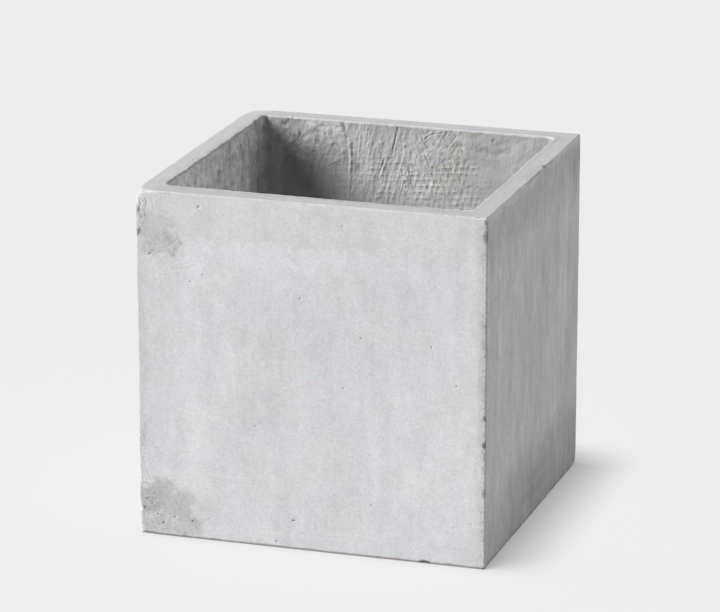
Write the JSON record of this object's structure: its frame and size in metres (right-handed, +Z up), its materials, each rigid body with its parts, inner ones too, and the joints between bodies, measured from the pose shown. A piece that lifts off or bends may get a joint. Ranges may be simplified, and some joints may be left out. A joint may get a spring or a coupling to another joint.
{
  "type": "planter box",
  "caption": "Open cube planter in cloth-reinforced cement, with a skimmed rim, a brushed inside and a loose stopper in the drain hole.",
  "frame": {"origin": "on the ground, under the middle of the box", "axes": "+Z up, +X along the wider side towards the right, +Y from front to back"},
  "size_m": [0.3, 0.29, 0.298],
  "materials": {
    "mould_face": "smooth pale grey cement, cloudy, with pinholes and damp marks",
    "brushed_inside": "rough grey cement with brush strokes, trowel ridges and cloth imprints",
    "rim": "struck-off cement, fine and matt",
    "glass_cloth": "open square weave of coated glass yarn",
    "stopper": "matt black rubber"
  },
  "bodies": {
    "planter": {"outer_coat": "mould_face", "inner_coat": "brushed_inside", "rim_skim": "rim", "front_cloth": "glass_cloth", "back_cloth": "glass_cloth", "left_cloth": "glass_cloth", "right_cloth": "glass_cloth", "base_cloth": "glass_cloth", "corner_strips": "glass_cloth", "foot_strips": "glass_cloth"},
    "stopper": {"drain_plug": "stopper"}
  },
  "joints": [
    {"name": "stopper_lift", "type": "slide", "parent": "planter", "child": "stopper", "axis": [0, 0, 1], "range_m": [0, 0.3]}
  ]
}
